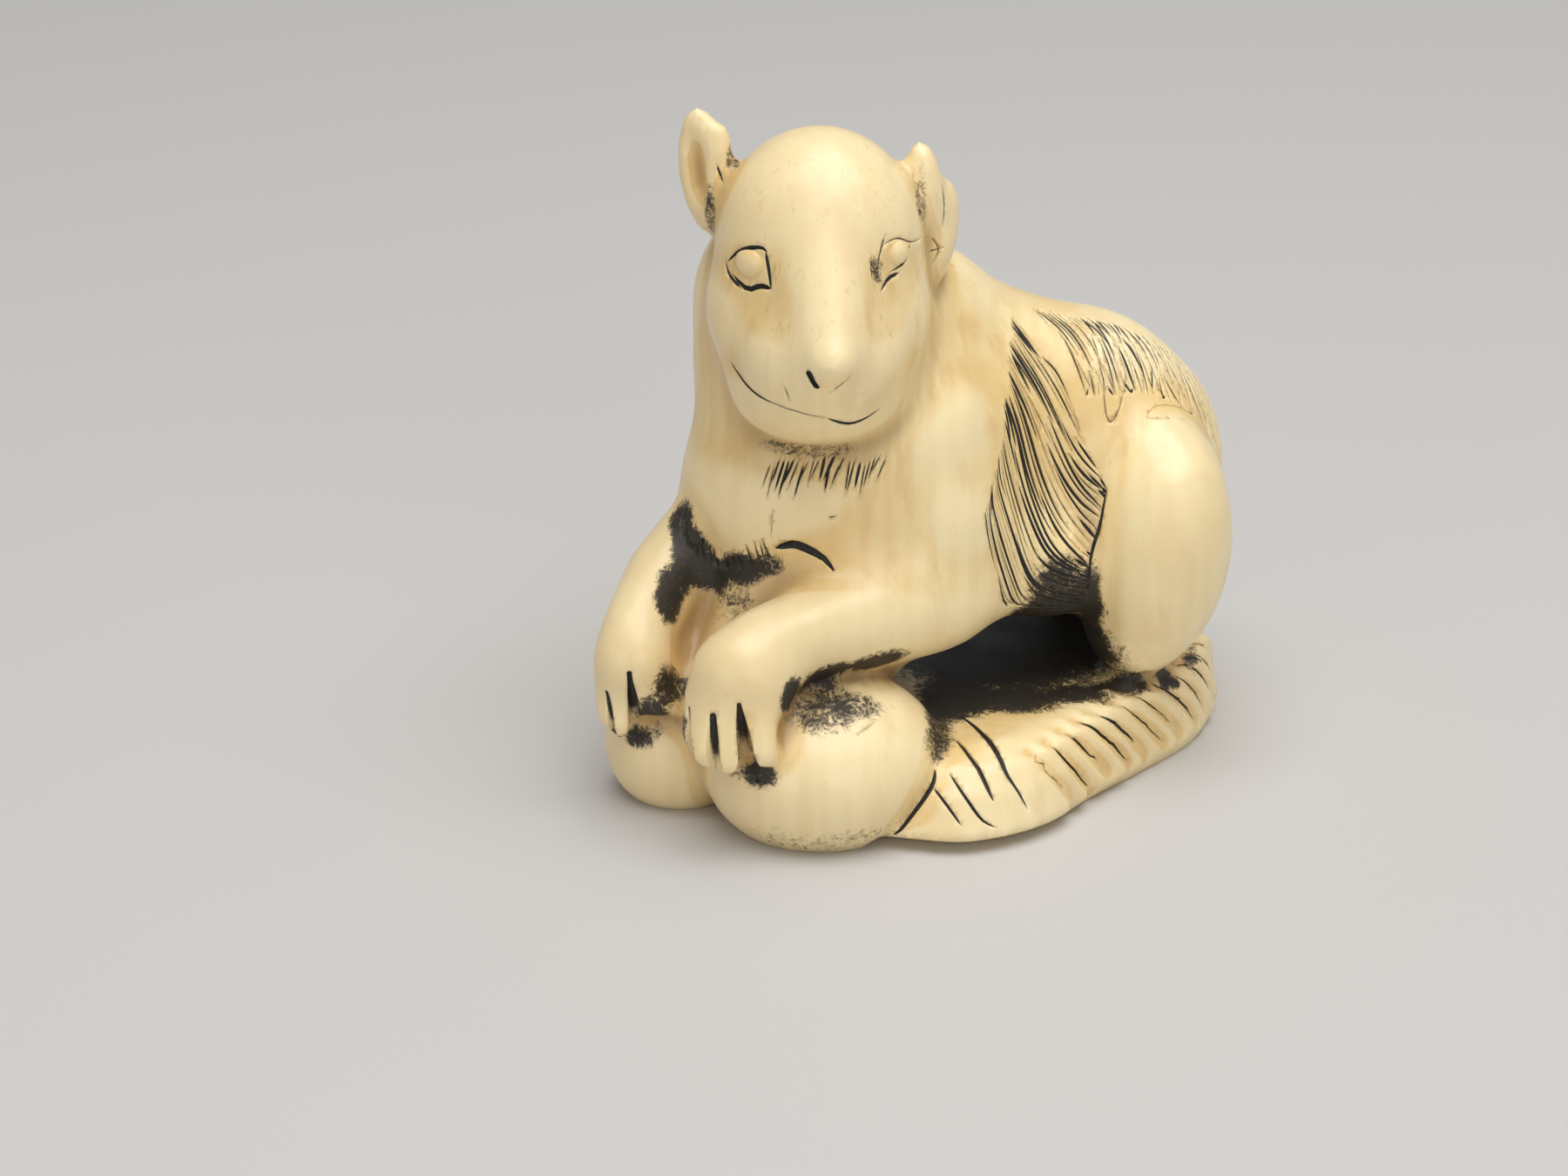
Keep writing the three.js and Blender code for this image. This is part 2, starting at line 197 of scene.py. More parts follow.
BODY_LINES = [
    (
        [(-8.5, -8.3, 16.6), (-7.7, -8.5, 16.9), (-7.0, -8.7, 16.9), (-5.7, -8.9, 16.3), (-5.0, -9.4, 15.6)],
        0.62,
    ),
    # before the haunch
    ([(11.6, -2.8, 18.3), (11.2, -3.5, 16.2), (10.7, -4.1, 14.2), (10.6, -4.2, 12.4)], 0.3),
    ([(10.9, 1.8, 23.8), (11.3, 0.2, 22.2), (11.8, -0.5, 21.5), (12.3, 0.2, 22.2), (12.4, 1.7, 23.2)], 0.14),
    ([(14.3, 0.2, 21.8), (14.1, -0.4, 21.2), (16.4, 0.3, 20.6)], 0.07),
    ([(14.3, 0.3, 21.9), (15.6, 0.9, 21.9), (17.0, 1.6, 21.4)], 0.07),
    # where the stone meets the plinth
    ([(1.1, -13.8, 4.6), (0.8, -14.6, 3.7), (-0.7, -15.5, 1.8), (-1.8, -16.0, 0.6)], 0.34),
    ([(0.9, -14.5, 3.7), (1.8, -15.3, 2.8), (2.6, -15.9, 1.8)], 0.26),
    ([(1.9, -14.0, 4.4), (2.8, -15.1, 3.4), (3.8, -15.6, 2.1), (4.7, -15.5, 1.5)], 0.26),
    ([(2.3, -10.7, 5.1), (3.4, -13.2, 4.8), (4.2, -14.5, 3.6), (4.5, -14.8, 2.9)], 0.34),
    ([(2.7, -7.3, 5.1), (3.7, -9.2, 5.1), (4.9, -12.4, 4.8), (5.4, -13.5, 4.0), (6.6, -14.2, 2.1)], 0.4),
    # under the fingertips
    ([(-13.0, -15.8, 4.9), (-12.0, -16.6, 4.9), (-10.8, -16.9, 5.0), (-9.8, -16.8, 5.3)], 0.6),
    ([(-3.6, -15.2, 7.6), (-2.9, -14.6, 7.9), (-2.4, -14.2, 8.2)], 0.1),
    ([(-8.6, -7.8, 19.0), (-8.7, -8.1, 18.0), (-8.8, -8.3, 17.2)], 0.12),
    ([(-5.4, -8.2, 18.6), (-4.9, -8.2, 18.7)], 0.16),
]
# Gaps between the fingers are cut with a tapering gouge, narrow at the knuckle.
FINGER_GAPS = [
    ((-13.75, -15.0, 9.2), (-13.5, -16.8, 5.9), 0.18, 0.4),
    ((-12.25, -16.4, 9.3), (-12.15, -17.7, 5.4), 0.26, 0.62),
    ((-10.65, -16.5, 10.1), (-10.1, -17.0, 5.5), 0.14, 0.95),
    ((-18.65, -10.9, 8.3), (-18.3, -11.4, 5.7), 0.14, 0.34),
    ((-17.25, -11.6, 9.9), (-16.8, -11.1, 5.1), 0.16, 0.6),
]
NOSTRIL = ((-6.5, -13.0, 29.6), (-6.1, -12.7, 28.8), 0.3, 0.2)
# Where black was rubbed in, and where black is painted as shade: a place, how far it reaches along X, Y and
# Z, and how dense it is.
INK_AND_SHADE_PATCHES = [
    ((5.6, 5.0, 7.4), (10.5, 12.5, 3.8), 2.0),  # inside the cord passage: rubbed black, and painted shadow
    ((8.4, -4.0, 10.4), (3.6, 2.0, 1.7), 1.1),  # lower edge of the belly
    ((10.8, -3.6, 10.6), (0.8, 1.4, 3.8), 1.05),  # fold before the haunch
    ((11.1, -3.0, 7.0), (0.9, 1.6, 2.4), 0.85),
    ((2.2, -5.4, 5.1), (2.8, 3.4, 1.2), 1.1),  # top of the plinth, under the belly: rubbed black, and painted shadow
    ((6.0, -5.4, 5.1), (3.8, 2.2, 1.2), 0.95),
    ((10.2, -4.4, 5.1), (2.6, 1.6, 1.2), 0.9),
    ((13.2, -3.2, 5.3), (2.6, 0.9, 0.9), 1.05),
    ((16.2, -2.0, 5.2), (1.5, 1.5, 1.1), 1.15),
    ((17.8, 1.0, 5.4), (1.2, 2.6, 1.1), 1.1),
    ((1.0, -10.0, 5.2), (1.5, 4.2, 1.8), 0.85),
    ((-14.2, -4.0, 16.6), (1.0, 1.4, 1.7), 1.0),  # far armpit
    ((-13.6, -5.8, 15.0), (1.5, 1.6, 1.8), 1.15),
    ((-14.6, -7.2, 13.8), (1.3, 1.5, 1.5), 1.0),
    ((-15.0, -8.3, 12.9), (1.1, 1.4, 1.6), 1.0),
    ((-13.9, -4.9, 15.8), (1.1, 1.3, 1.1), 1.0),
    ((-12.3, -6.3, 14.0), (1.8, 1.4, 1.3), 1.1),
    ((-10.4, -7.3, 14.9), (2.0, 1.4, 1.2), 1.1),
    ((-8.9, -8.2, 15.5), (1.2, 1.0, 0.9), 0.9),
    ((-11.6, -8.0, 13.0), (2.4, 2.0, 1.8), 0.55),
    ((-14.4, -11.4, 8.9), (1.7, 1.8, 1.7), 1.0),  # between the hands
    ((-16.0, -11.2, 6.8), (1.3, 1.4, 1.7), 1.05),
    ((-17.4, -10.8, 5.1), (1.9, 1.5, 0.9), 1.15),  # under the far fingers
    ((-12.6, -15.8, 5.2), (2.2, 1.9, 0.9), 1.3),  # under the near fingers: rubbed black, and painted contact shadow
    ((-10.0, -16.6, 5.5), (1.9, 1.5, 1.1), 1.15),
    ((-13.8, -14.6, 6.8), (0.7, 1.2, 2.4), 0.95),
    ((-7.5, -14.9, 9.9), (1.1, 1.4, 1.4), 1.1),  # between the near hand and the stone
    ((-5.2, -12.6, 9.9), (2.9, 1.9, 1.2), 1.15),
    ((-1.8, -11.2, 10.0), (3.0, 1.9, 1.2), 1.15),
    ((-5.8, -14.2, 8.7), (2.8, 2.2, 1.6), 0.74),
    ((-3.2, -13.2, 8.9), (2.6, 1.8, 1.4), 0.7),
    ((-6.6, -7.2, 22.7), (4.2, 1.8, 0.9), 0.56),  # under the jaw: rubbed black, and painted shade
    ((-13.6, -2.6, 38.6), (0.6, 0.9, 2.8), 0.8),  # ears
    ((-12.4, -2.8, 35.8), (0.5, 1.0, 2.2), 0.72),
    ((-11.0, -2.4, 39.2), (0.6, 0.9, 1.1), 0.72),
    ((0.1, -3.4, 37.0), (0.5, 1.2, 2.4), 0.62),
    ((-12.9, -2.2, 33.2), (0.8, 1.6, 1.6), 0.7),
    ((-2.6, -8.8, 34.7), (0.6, 0.9, 1.3), 0.68),  # beside the right eye
    ((8.8, -4.4, 12.6), (2.8, 1.4, 2.2), 0.9),
    ((-5.0, -16.4, 1.0), (8.0, 2.0, 1.4), 0.42),  # foot of the stones
]

# --- Modelling by hand: one function for each move ---------------------------------------------------


def alone(*objects):
    """Selects only these objects, the first of them active."""
    bpy.ops.object.select_all(action="DESELECT")
    for obj in objects:
        obj.select_set(True)
    bpy.context.view_layer.objects.active = objects[0]
    return objects[0]


def settle(obj):
    """Puts the object's own place, turn and size into its mesh."""
    alone(obj)
    bpy.ops.object.transform_apply(location=True, rotation=True, scale=True)
    return obj


def turned(degrees):
    """The turn about X, then Y, then Z, as Blender's angles."""
    angles = [math.radians(a) for a in degrees]
    turn = Matrix.Rotation(angles[0], 3, "X") @ Matrix.Rotation(angles[1], 3, "Y")
    return (turn @ Matrix.Rotation(angles[2], 3, "Z")).to_euler()


def lump(at, radii, turn=(0, 0, 0)):
    """A smooth rounded mass."""
    bpy.ops.object.select_all(action="DESELECT")
    bpy.ops.mesh.primitive_uv_sphere_add(
        segments=64, ring_count=40, radius=1, location=at, rotation=turned(turn), scale=radii
    )
    return settle(bpy.context.object)


def edit(obj, wanted):
    """Opens the mesh for editing with only the vertices picked that the test wants."""
    alone(obj)
    for part in (obj.data.polygons, obj.data.edges):
        part.foreach_set("select", [False] * len(part))
    obj.data.vertices.foreach_set("select", [wanted(v.co) for v in obj.data.vertices])
    bpy.ops.object.mode_set(mode="EDIT")
    bpy.ops.mesh.select_mode(type="VERT")


def limb(start, end, start_radius, end_radius):
    """A tapering limb: a ball whose upper half is scaled and drawn out to the far end."""
    bpy.ops.object.select_all(action="DESELECT")
    bpy.ops.mesh.primitive_uv_sphere_add(segments=48, ring_count=24, radius=start_radius)
    ball = bpy.context.object
    reach = Vector(end) - Vector(start)
    edit(ball, lambda co: co.z > 0.01 * start_radius)
    size = end_radius / start_radius
    bpy.ops.transform.resize(value=(size, size, size), center_override=(0, 0, 0))
    bpy.ops.transform.translate(value=(0, 0, reach.length))
    bpy.ops.object.mode_set(mode="OBJECT")
    ball.rotation_euler = reach.to_track_quat("Z", "Y").to_euler()
    ball.location = start
    return settle(ball)


def joined(parts, name):
    whole = alone(*parts)
    if len(parts) > 1:
        bpy.ops.object.join()
    whole.name = name
    whole.data.name = name
    return whole


def modify(obj, kind, **settings):
    """Adds a modifier with these settings and applies it."""
    alone(obj)
    modifier = obj.modifiers.new(kind.lower(), kind)
    for name, value in settings.items():
        setattr(modifier, name, value)
    bpy.ops.object.modifier_apply(modifier=modifier.name)
    return obj


def fuse(parts, name, grain, fillet=0.0, rounding=4):
    """Joins overlapping parts into one skin with fillets of about this radius in the hollows between them.

    The parts are swollen by the fillet, made one, and shrunk back by as much, which fills hollows only.
    """
    whole = joined(parts, name)
    if fillet:
        modify(whole, "DISPLACE", direction="NORMAL", mid_level=0, strength=fillet)
        modify(whole, "REMESH", mode="VOXEL", voxel_size=grain)
        modify(whole, "SMOOTH", factor=0.5, iterations=rounding)
        modify(whole, "DISPLACE", direction="NORMAL", mid_level=0, strength=-fillet)
    modify(whole, "REMESH", mode="VOXEL", voxel_size=grain)
    modify(whole, "SMOOTH", factor=0.5, iterations=rounding)
    return whole


def places_of(obj):
    """Every vertex's place, as rows of an array."""
    flat = np.empty(len(obj.data.vertices) * 3)
    obj.data.vertices.foreach_get("co", flat)
    return flat.reshape(-1, 3)


def soften(obj, places, iterations):
    """Smooths the skin round these places only, fading out with distance."""
    points = places_of(obj)
    weight = np.zeros(len(points))
    for centre, reach in places:
        near = 1 - np.linalg.norm(points - np.array(centre), axis=1) / reach
        weight = np.maximum(weight, near)
    group = obj.vertex_groups.new(name="soft")
    for index in np.nonzero(weight > 0)[0]:
        group.add([int(index)], min(1.0, 2 * weight[index]), "REPLACE")
    modify(obj, "SMOOTH", factor=0.5, iterations=iterations, vertex_group=group.name)
    obj.vertex_groups.clear()
    return obj


def lumps(places):
    return [lump(*place) for place in places]


def limbs(places):
    return [limb(*place) for place in places]


# --- The parts of the carving -------------------------------------------------------------------------


def trunk():
    """The trunk with the near elbow growing out of it."""
    body = fuse(lumps(TRUNK), "body", BODY_GRAIN, fillet=4)
    return fuse([body, *limbs(NEAR_ELBOW)], "trunk", 0.45, fillet=2.6)


def head():
    face = fuse([*lumps(SKULL), *limbs(NOSE_BRIDGE)], "face", 0.45, fillet=2.6)
    return fuse([face, lump(*NOSE_TIP)], "head", 0.33, fillet=0.8, rounding=2)


def thigh(places, name):
    return fuse(lumps(places), name, 0.45, fillet=2)


def arm(forearm, hand, fingers, name):
    bones = fuse([*limbs(forearm), *lumps(hand)], name, 0.45, fillet=1.6)
    return fuse([bones, *limbs(fingers)], name, 0.3, fillet=0.35, rounding=2)


def left_ear():
    ear = fuse(lumps(LEFT_EAR), "left_ear", 0.2, fillet=0.2, rounding=2)
    return cut(ear, lump(*LEFT_EAR_HOLLOW))


def right_ear():
    return fuse(lumps(RIGHT_EAR), "right_ear", 0.2, fillet=0.2, rounding=2)


def outline():
    """The plinth's outline seen from above, as evenly numbered points on a closed smooth curve."""
    corners = [
        (0.6, -16.2), (4.6, -15.9), (8.4, -13.4), (11.2, -9.4), (14.6, -5.2), (18.0, -0.8),
        (19.6, 4.0), (19.2, 8.6), (15.6, 13.0), (9.4, 15.2), (1.4, 15.4), (-6, 12.6),
        (-11, 7.4), (-13, 0.6), (-13, -6.4), (-9, -13),
    ]
    places = []
    for step in range(PLINTH_POINTS):
        share = step / PLINTH_POINTS * len(corners)
        index = int(share)
        near = [Vector(corners[(index + i) % len(corners)]) for i in (-1, 0, 1, 2)]
        places.append(smooth_between(near, share - index))
    return places


def smooth_between(points, share):
    """A Catmull-Rom curve through four points, between the middle two."""
    a, b, c, d = points
    return 0.5 * (
        2 * b + (c - a) * share + (2 * a - 5 * b + 4 * c - d) * share**2 + (3 * b - a - 3 * c + d) * share**3
    )


def plinth():
    """A disc extruded upwards in steps, each step's ring drawn in from the outline, most of all in front."""
    rings = [(-1.0, 0.9), (0.2, 0.5), (1.0, 0.0), (3.2, 0.35), (PLINTH_TOP - 0.5, 0.8), (PLINTH_TOP, 1.5)]
    bpy.ops.object.select_all(action="DESELECT")
    bpy.ops.mesh.primitive_circle_add(vertices=PLINTH_POINTS, radius=1, fill_type="NGON", location=(0, 0, 0))
    disc = bpy.context.object
    bpy.ops.object.mode_set(mode="EDIT")
    for _ in rings[1:]:
        bpy.ops.mesh.extrude_region_move(TRANSFORM_OT_translate={"value": (0, 0, 1)})
    bpy.ops.mesh.select_all(action="SELECT")
    bpy.ops.mesh.normals_make_consistent(inside=False)
    bpy.ops.object.mode_set(mode="OBJECT")
    edge = outline()
    front = Vector((0.6, -16.2))
    front_slope, front_spread = 2.4, 120
    for vertex in disc.data.vertices:
        turn = math.atan2(vertex.co.y, vertex.co.x) % math.tau
        at = edge[round(turn / math.tau * PLINTH_POINTS) % PLINTH_POINTS]
        height, inset = rings[round(vertex.co.z)]
        lean = 1 + front_slope * math.exp(-((at - front).length_squared) / front_spread)
        drawn = 1 - inset * lean / at.length
        vertex.co = (at.x * drawn, at.y * drawn, height)
    disc.name = "plinth"
    return disc


def cord_passage():
    """The flattened tunnel under the belly that a cord runs through."""
    size = CORD_PASSAGE
    half = size["half_length"]
    bore = limb((0, -half, 0), (0, half, 0), 1, 1)
    bore.scale = (size["half_width"], 1, size["half_height"])
    bore.rotation_euler = (0, 0, math.radians(size["turn"]))
    bore.location = size["at"]
    return settle(bore)


def block_below():
    bpy.ops.object.select_all(action="DESELECT")
    bpy.ops.mesh.primitive_cube_add(size=80, location=(0, 0, -40))
    return bpy.context.object


def cut(obj, cutter):
    modify(obj, "BOOLEAN", operation="DIFFERENCE", solver="MANIFOLD", object=cutter)
    bpy.data.objects.remove(cutter)
    return obj


def big_stone():
    """The stone under the near hand, its lower right side cut off at a slant."""
    stone = lump(*STONES[0])
    edit(stone, lambda co: True)
    bpy.ops.mesh.bisect(
        plane_co=(-3.0, -14.0, 0), plane_no=(0.76, 0, -0.65), use_fill=True, clear_outer=True
    )
    bpy.ops.object.mode_set(mode="OBJECT")
    return fuse([stone], "big_stone", 0.4, rounding=6)


def along(points, share):
    """The place this far along a smooth curve through the points."""
    spans = len(points) - 1
    index = min(int(share * spans), spans - 1)
    near = [Vector(points[min(max(index + i, 0), spans)]) for i in (-1, 0, 1, 2)]
    return smooth_between(near, share * spans - index)


def hollow_out(obj, lines, width, depth):
    """Sinks a shallow rounded groove into the skin along every line."""
    points = places_of(obj)
    traced = [along(line, share / 12) for line in lines for share in range(13)]
    on_skin = np.array([obj.closest_point_on_mesh(place)[1] for place in traced])
    nearest = np.full(len(points), np.inf)
    for place in on_skin:
        nearest = np.minimum(nearest, np.linalg.norm(points - place, axis=1))
    weights = np.clip(1 - (nearest / (width / 2)) ** 2, 0, 1)
    group = obj.vertex_groups.new(name="hollowed")
    for index in np.flatnonzero(weights):
        group.add([int(index)], float(weights[index]), "REPLACE")
    modify(obj, "DISPLACE", strength=-depth, mid_level=0, vertex_group="hollowed")
    obj.vertex_groups.clear()


def graver_line(skin, points, width):
    """One line of the graver over the skin: its places with the radius there, thin at both ends."""
    length = sum((Vector(b) - Vector(a)).length for a, b in zip(points, points[1:]))
    steps = max(4, round(length / GRAVER_STEP))
    line = []
    for step in range(steps + 1):
        share = step / steps
        at = skin.closest_point_on_mesh(along(points, share))[1]
        radius = width / 2 * (0.22 + 0.78 * math.sin(math.pi * share**0.85) ** 0.7)
        line.append((at, radius))
    return line


def hair(skin, guides, chance, rows_apart=0.22, width=(0.09, 0.32), start=0.0, end=1.0):
    """Lines of hair, broken at random, that follow the guides and the flow between them."""
    lines = []
    row = 0.0
    while row <= len(guides) - 1:
        at = min(int(row), len(guides) - 2)
        share = start + chance.uniform(0, 0.12)
        while share < end - 0.06:
            stop = min(end, share + chance.uniform(0.25, 0.8))
            lean = chance.uniform(-0.25, 0.25)
            points = []
            for step in range(7):
                here = share + (stop - share) * step / 6
                across = min(max(row + lean * (step / 6 - 0.5) - at, -0.5), 1.5)
                points.append(along(guides[at], here).lerp(along(guides[at + 1], here), across))
            lines.append(graver_line(skin, points, chance.uniform(*width)))
            share = stop + chance.uniform(-0.08, 0.14)
        row += rows_apart * chance.uniform(0.75, 1.25)
    return lines


def on_far_side(guides):
    """The same guides mirrored across the body."""
    return [[(x, 2 * MIRROR_Y - y, z) for x, y, z in guide] for guide in guides]


def chin_hair(skin, chance):
    """A fringe of short slanting lines under the jaw."""
    lines = []
    for step in range(CHIN_HAIRS):
        share = step / (CHIN_HAIRS - 1)
        top = Vector((-8.9 + 7.0 * share, -7.3, 22.1 + chance.uniform(-0.35, 0.25)))
        fall = Vector((-0.55 + chance.uniform(-0.25, 0.2), -0.4, -1.9 + chance.uniform(-0.5, 0.6)))
        width = chance.uniform(0.14, 0.28) if 0.05 < share < 0.8 else 0.16
        lines.append(graver_line(skin, [top, top + fall * 0.5, top + fall], width))
    return lines


def breast_fringe(skin, chance):
    """Short tufts that rise from the fold between the breast and the arms."""
    fold = [(-14.3, -4.2, 16.7), (-13.4, -5.8, 15.2), (-11.4, -7.0, 14.6), (-8.7, -8.2, 15.9)]
    lines = []
    for step in range(BREAST_TUFTS):
        share = step / (BREAST_TUFTS - 1) + chance.uniform(-0.02, 0.02)
        root = along(fold, min(1, max(0, share)))
        rise = Vector((chance.uniform(-0.5, -0.1), 0.1, 1.0)) * chance.uniform(0.5, 1.3)
        lines.append(graver_line(skin, [root, root + rise * 0.5, root + rise], chance.uniform(0.12, 0.26)))
    return lines


def evenly(outline_points, gap):
    """Points on the closed outline, this far apart along it."""
    ring = [*outline_points, outline_points[0]]
    spaced = []
    left = 0.0
    for first, second in zip(ring, ring[1:]):
        length = (second - first).length
        while left < length:
            spaced.append(first.lerp(second, left / length))
            left += gap
        left -= length
    return spaced


def rib_places(edge, begin, run, top, bottom):
    """A rib's line on the plinth's side: down from the top while it runs on along the edge."""
    places = []
    for step in range(4):
        share = step / 3
        at = edge[round(begin + run * share**1.2) % len(edge)]
        height = top + (bottom - top) * share**1.3
        drawn = 1 - (0.2 + 2.0 * (1 - share) ** 2) / at.length
        places.append((at.x * drawn, at.y * drawn, height))
    return places


def nearest_on(edge, place):
    """The number of the edge's point that lies nearest to a place."""
    return min(range(len(edge)), key=lambda index: math.dist(edge[index].xy, place))


def plinth_ribs(chance):
    """Where the ribs' grooves run, all round the plinth but for the stones."""
    edge = evenly(outline(), EDGE_GAP)
    begin, end = nearest_on(edge, FIRST_RIB), nearest_on(edge, LAST_RIB)
    ribs = []
    while begin < end:
        run = chance.uniform(2.6, 3.3) / EDGE_GAP
        top = PLINTH_TOP + chance.uniform(-0.2, 0.2)
        ribs.append(rib_places(edge, begin, run, top, chance.uniform(0.9, 1.5)))
        begin += chance.uniform(1.65, 2.15) / EDGE_GAP
    return ribs


def graver(lines):
    """Every line as a thin closed rod of its own, in a collection, ready to be cut away."""
    path = bpy.data.curves.new("graver", "CURVE")
    path.dimensions = "3D"
    path.bevel_depth = 1
    path.bevel_resolution = 0
    path.use_fill_caps = True
    for line in lines:
        spline = path.splines.new("POLY")
        spline.points.add(len(line) - 1)
        for point, (at, radius) in zip(spline.points, line):
            point.co = (*at, 1)
            point.radius = radius
    rods = bpy.data.objects.new("graver", path)
    bpy.context.scene.collection.objects.link(rods)
    alone(rods)
    bpy.ops.object.convert(target="MESH")
    bpy.ops.object.mode_set(mode="EDIT")
    bpy.ops.mesh.select_all(action="SELECT")
    bpy.ops.mesh.remove_doubles(threshold=0.0005)
    bpy.ops.mesh.normals_make_consistent(inside=False)
    bpy.ops.mesh.separate(type="LOOSE")
    bpy.ops.object.mode_set(mode="OBJECT")
    return list(bpy.context.selected_objects)


def cut_all(obj, cutters):
    """Cuts every cutter out of the object, however they overlap."""
    tray = bpy.data.collections.new("cutters")
    for cutter in cutters:
        tray.objects.link(cutter)
    modify(
        obj, "BOOLEAN", operation="DIFFERENCE", solver="MANIFOLD",
        operand_type="COLLECTION", collection=tray,
    )
    for cutter in cutters:
        bpy.data.objects.remove(cutter)
    bpy.data.collections.remove(tray)
    return obj


def add_to(obj, part):
    """Joins a part to the object and keeps both surfaces as they are."""
    modify(obj, "BOOLEAN", operation="UNION", solver="MANIFOLD", object=part)
    bpy.data.objects.remove(part)
    return obj


def engraved(whole):
    """Cuts the hair, face, fingers and creases, and leaves on every point how deep it was cut."""
    chance = random.Random(7)
    lines = hair(whole, FLANK_HAIR, chance)
    lines += hair(whole, BACK_HAIR, chance, rows_apart=0.15, width=(0.09, 0.27))
    lines += hair(whole, on_far_side(FLANK_HAIR[::2]), chance, rows_apart=0.3)
    lines += chin_hair(whole, chance) + breast_fringe(whole, chance)
    lines += [graver_line(whole, points, width) for points, width in FACE_LINES + BODY_LINES]
    for rib in plinth_ribs(random.Random(3)):
        begin = chance.uniform(0, 0.15)
        end = chance.uniform(0.75, 1.0)
        points = [along(rib, begin + (end - begin) * step / 3) for step in range(4)]
        lines.append(graver_line(whole, points, chance.uniform(0.18, 0.36)))
    gouges = limbs([*FINGER_GAPS, NOSTRIL])
    before = skin_trees(whole)
    marks = soft_marks(whole)
    cut_all(whole, [*graver(lines), *gouges])
    carry_marks(whole, before, marks)
    return whole


# --- Marks left on the surface, and painted shade ------------------------------------------------------


def skin_trees(obj):
    """Search trees of the skin: one of its faces and one of its points."""
    places = [vertex.co.copy() for vertex in obj.data.vertices]
    points = KDTree(len(places))
    for index, place in enumerate(places):
        points.insert(place, index)
    points.balance()
    return BVHTree.FromPolygons(places, [list(face.vertices) for face in obj.data.polygons]), points


def soft_marks(obj):
    """For every point of the uncut skin: how much black was rubbed in and painted as shade, and how deep in
    a hollow it lies.
    """
    points = places_of(obj)
    ink_and_shade = np.zeros(len(points))
    for centre, reach, strength in INK_AND_SHADE_PATCHES:
        away = np.linalg.norm((points - np.array(centre)) / np.array(reach), axis=1)
        ink_and_shade = np.hypot(ink_and_shade, strength * np.clip(1.25 - away**2, 0, 1))
    return {"ink_and_shade": ink_and_shade, "hollow": hollows(obj, points)}


def hollows(obj, points, rounds=60):
    """How far the skin would rise, in millimetres, if it were smoothed: positive in hollows."""
    ends = np.empty(len(obj.data.edges) * 2, dtype=int)
    obj.data.edges.foreach_get("vertices", ends)
    a, b = ends.reshape(-1, 2).T
    normals = np.empty(len(points) * 3)
    obj.data.vertices.foreach_get("normal", normals)
    valence = np.bincount(np.concatenate([a, b]), minlength=len(points))[:, None]
    smooth = points.copy()
    for _ in range(rounds):
        total = np.zeros_like(smooth)
        for axis in range(3):
            total[:, axis] = np.bincount(a, smooth[b, axis], len(points))
            total[:, axis] += np.bincount(b, smooth[a, axis], len(points))
        smooth = 0.5 * smooth + 0.5 * total / valence
    return np.einsum("ij,ij->i", smooth - points, normals.reshape(-1, 3))


def carry_marks(obj, before, marks):
    """Gives every point the marks of the uncut skin nearest to it, and its depth below that skin."""
    faces, points = before
    nearest = np.array([points.find(vertex.co)[1] for vertex in obj.data.vertices])
    values = {name: mark[nearest] for name, mark in marks.items()}
    values["depth"] = np.array([faces.find_nearest(vertex.co)[3] for vertex in obj.data.vertices])
    for name, value in values.items():
        layer = obj.data.attributes.new(name, "FLOAT", "POINT")
        layer.data.foreach_set("value", value.astype(np.float32))


def carving():
    """The whole carving, in millimetres: its masses made one, the passage cut, then the fine work."""
    limbs_and_head = [
        head(),
        thigh(NEAR_THIGH, "near_thigh"),
        thigh(FAR_THIGH, "far_thigh"),
        arm(NEAR_FOREARM, NEAR_HAND, NEAR_FINGERS, "near_arm"),
        arm(FAR_ARM, FAR_HAND, FAR_FINGERS, "far_arm"),
    ]
    flesh = fuse([trunk(), *limbs_and_head], "flesh", FINE_GRAIN, fillet=0.5, rounding=3)
    soften(flesh, SOFT_PLACES, iterations=120)
    parts = [flesh, left_ear(), right_ear(), big_stone(), lump(*STONES[1]), plinth()]
    whole = fuse(parts, "rat_netsuke_carving", FINE_GRAIN, rounding=1)
    cut(whole, cord_passage())
    modify(whole, "REMESH", mode="VOXEL", voxel_size=FINE_GRAIN)
    modify(whole, "SMOOTH", factor=0.5, iterations=2)
    cut(whole, block_below())
    for eyeball in lumps(EYEBALLS):
        add_to(whole, eyeball)
    hollow_out(whole, plinth_ribs(random.Random(3)), width=1.5, depth=0.36)
    return engraved(whole)


def bring_home(obj):
    """Moves the carving so that the middle of its outline is at the origin, and brings it to metres."""
    obj.location = (-MIDDLE[0] * MM, -MIDDLE[1] * MM, 0)
    obj.scale = (MM, MM, MM)
    return settle(obj)


# --- The finish ---------------------------------------------------------------------------------------

PALE_IVORY = "#f9e2ac"
WARM_IVORY = "#eac988"
# paler on proud places: wear, and a painted highlight
WORN_AND_HIGHLIT_IVORY = "#fdecc0"
# brown in hollows and creases: grime, and painted shade
HOLLOW_BROWN = "#9b7440"
STREAK_BROWN = "#9a7440"
# brown round the ragged black, which is rubbed ink and painted shade
SMEAR_AND_SHADE_BROWN = "#a08a62"
GRAIN_AMBER = "#dfba7c"
# amber towards -X: handling patina, and painted shade on the left side
HONEY = "#dcb775"
# black of the ink in the cuts and rubbed patches, and of painted shadow
INK_AND_SHADOW_BLACK = "#100e0b"
INK_AND_SHADOW_BROWN = "#3b2d1b"
DAYLIGHT = "#eef1f5"
FLOOR_GREY = "#c9c6c2"
